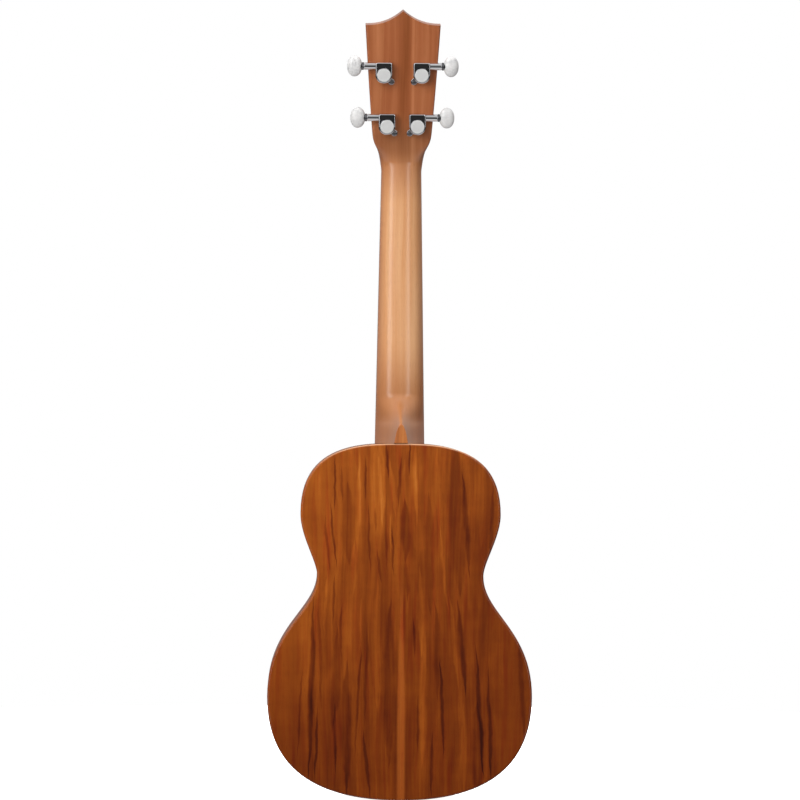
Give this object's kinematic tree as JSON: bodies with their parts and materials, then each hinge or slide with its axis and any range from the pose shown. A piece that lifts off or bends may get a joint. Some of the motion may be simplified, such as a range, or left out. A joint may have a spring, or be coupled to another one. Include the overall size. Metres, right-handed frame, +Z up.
{
  "type": "ukulele",
  "caption": "Tenor ukulele: hollow figure-eight wooden body, long neck, three-point headstock, worm-geared side tuners with oval buttons, fretboard, tie bridge and nylon strings.",
  "frame": {"origin": "on the nut's front edge at the middle of the neck, in the plane of the soundboard's face, just under the headstock's flare where a wall hanger's yoke takes the instrument", "axes": "+Z up the neck to the headstock, +Y out of the back (the soundboard faces -Y), +X towards the thinnest string's side"},
  "size_m": [0.228, 0.084, 0.6839],
  "materials": {
    "neck_wood": "gloss",
    "cap_wood": "gloss",
    "body_wood": "gloss",
    "top_wood": "gloss",
    "inner_wood": "matte",
    "dark_wood": "satin",
    "bone": "satin",
    "nylon": "gloss",
    "chrome": "polished",
    "satin_steel": "satin",
    "brass": "satin",
    "pearl": "gloss"
  },
  "bodies": {
    "instrument": {"neck": "neck_wood", "heel_cap": "cap_wood", "fretboard": "dark_wood", "nut": "bone", "soundboard": "top_wood", "back_bass": "body_wood", "back_treble": "body_wood", "side_bass": "body_wood", "side_treble": "body_wood", "neck_block": "inner_wood", "tail_block": "inner_wood", "lining_front_bass": "inner_wood", "lining_front_treble": "inner_wood", "lining_back_bass": "inner_wood", "lining_back_treble": "inner_wood", "back_brace_upper": "inner_wood", "back_brace_lower": "inner_wood", "top_brace_upper": "inner_wood", "top_brace_lower": "inner_wood", "fan_brace_bass": "inner_wood", "fan_brace_treble": "inner_wood", "bridge_plate": "inner_wood", "bridge": "dark_wood", "saddle": "bone", "string_g": "nylon", "string_c": "nylon", "string_e": "nylon", "string_a": "nylon", "tuner_g_housing": "chrome", "tuner_g_cap": "satin_steel", "tuner_g_screw": "satin_steel", "tuner_g_bushing": "chrome", "tuner_c_housing": "chrome", "tuner_c_cap": "satin_steel", "tuner_c_screw": "satin_steel", "tuner_c_bushing": "chrome", "tuner_e_housing": "chrome", "tuner_e_cap": "satin_steel", "tuner_e_screw": "satin_steel", "tuner_e_bushing": "chrome", "tuner_a_housing": "chrome", "tuner_a_cap": "satin_steel", "tuner_a_screw": "satin_steel", "tuner_a_bushing": "chrome"},
    "g_knob": {"tuner_g_worm_shaft": "satin_steel", "tuner_g_button": "pearl"},
    "g_winder": {"tuner_g_gear": "brass", "tuner_g_post": "chrome"},
    "c_knob": {"tuner_c_worm_shaft": "satin_steel", "tuner_c_button": "pearl"},
    "c_winder": {"tuner_c_gear": "brass", "tuner_c_post": "chrome"},
    "e_knob": {"tuner_e_worm_shaft": "satin_steel", "tuner_e_button": "pearl"},
    "e_winder": {"tuner_e_gear": "brass", "tuner_e_post": "chrome"},
    "a_knob": {"tuner_a_worm_shaft": "satin_steel", "tuner_a_button": "pearl"},
    "a_winder": {"tuner_a_gear": "brass", "tuner_a_post": "chrome"}
  },
  "joints": [
    {"name": "g_knob_turn", "type": "hinge", "parent": "instrument", "child": "g_knob", "pos_m": [-0.03875, 0.02574, 0.04348], "axis": [-1, 0, 0], "continuous": true},
    {"name": "g_post_turn", "type": "hinge", "parent": "instrument", "child": "g_winder", "pos_m": [-0.01325, 0.01999, 0.03713], "axis": [0, 0.9781, -0.2079], "continuous": true},
    {"name": "c_knob_turn", "type": "hinge", "parent": "instrument", "child": "c_knob", "pos_m": [-0.0419, 0.03509, 0.08749], "axis": [-1, 0, 0], "continuous": true},
    {"name": "c_post_turn", "type": "hinge", "parent": "instrument", "child": "c_winder", "pos_m": [-0.0164, 0.02935, 0.08115], "axis": [0, 0.9781, -0.2079], "continuous": true},
    {"name": "e_knob_turn", "type": "hinge", "parent": "instrument", "child": "e_knob", "pos_m": [0.0419, 0.03509, 0.08749], "axis": [1, 0, 0], "continuous": true},
    {"name": "e_post_turn", "type": "hinge", "parent": "instrument", "child": "e_winder", "pos_m": [0.0164, 0.02935, 0.08115], "axis": [0, 0.9781, -0.2079], "continuous": true},
    {"name": "a_knob_turn", "type": "hinge", "parent": "instrument", "child": "a_knob", "pos_m": [0.03875, 0.02574, 0.04348], "axis": [1, 0, 0], "continuous": true},
    {"name": "a_post_turn", "type": "hinge", "parent": "instrument", "child": "a_winder", "pos_m": [0.01325, 0.01999, 0.03713], "axis": [0, 0.9781, -0.2079], "continuous": true}
  ],
  "couplings": [
    {"joint": "g_post_turn", "follows": "g_knob_turn", "ratio": 0.071429},
    {"joint": "c_post_turn", "follows": "c_knob_turn", "ratio": 0.071429},
    {"joint": "e_post_turn", "follows": "e_knob_turn", "ratio": -0.071429},
    {"joint": "a_post_turn", "follows": "a_knob_turn", "ratio": -0.071429}
  ]
}
